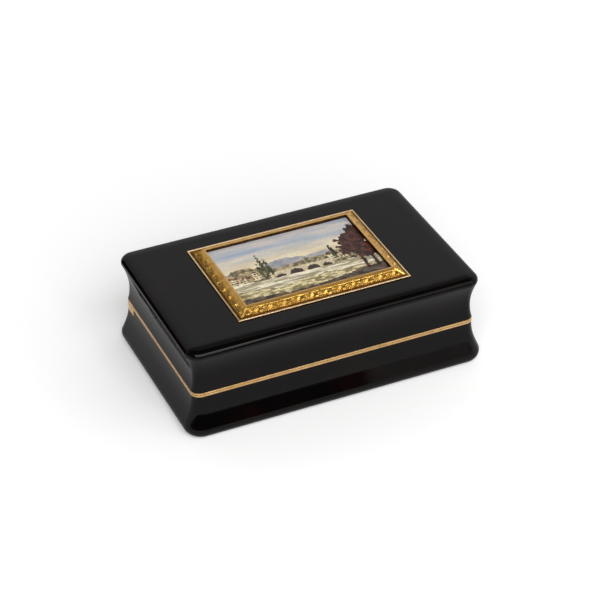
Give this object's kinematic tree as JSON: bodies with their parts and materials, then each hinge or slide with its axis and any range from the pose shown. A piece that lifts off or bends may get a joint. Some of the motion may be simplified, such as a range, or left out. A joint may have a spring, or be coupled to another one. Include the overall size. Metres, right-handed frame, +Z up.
{
  "type": "snuff box",
  "caption": "Rectangular hinged snuff box of moulded tortoiseshell with gold rims, a tube hinge along the back and a mosaic panel in a raised chased frame on the lid.",
  "frame": {"origin": "middle of the flat underside of the base, which rests on the table", "axes": "+X along the length, to the right as seen from the front; +Y to the back, where the hinge is; +Z up through the lid"},
  "size_m": [0.093, 0.0596, 0.0314],
  "materials": {
    "tortoiseshell": "polished dark tortoiseshell",
    "gold": "worn polished gold",
    "tray_copper": "dull copper sheet",
    "bedding_cement": "matt mastic",
    "glass_tesserae": "polished opaque glass tesserae"
  },
  "bodies": {
    "base": {"base_shell": "tortoiseshell", "base_rim": "gold", "base_lip": "gold", "hinge_cheek_left": "gold", "hinge_cheek_right": "gold", "base_hinge_plate": "gold", "base_knuckle_1": "gold", "base_knuckle_2": "gold", "base_knuckle_3": "gold", "base_knuckle_4": "gold", "base_knuckle_5": "gold", "hinge_pin": "gold"},
    "lid": {"lid_shell": "tortoiseshell", "lid_rim": "gold", "lid_hinge_plate": "gold", "lid_knuckle_1": "gold", "lid_knuckle_2": "gold", "lid_knuckle_3": "gold", "lid_knuckle_4": "gold", "mosaic_tray": "tray_copper", "mosaic_cement": "bedding_cement", "mosaic_panel": "glass_tesserae", "frame_sight_edge": "gold", "frame_strip_front": "gold", "frame_strip_right": "gold", "frame_strip_back": "gold", "frame_strip_left": "gold", "frame_bead_wire": "gold", "frame_wire": "gold", "frame_pin_1": "gold", "frame_pin_2": "gold", "frame_pin_3": "gold", "frame_pin_4": "gold"}
  },
  "joints": [
    {"name": "lid_hinge", "type": "hinge", "parent": "base", "child": "lid", "pos_m": [0, 0.0276, 0.0138], "axis": [-1, 0, 0], "range_deg": [0, 100]}
  ]
}
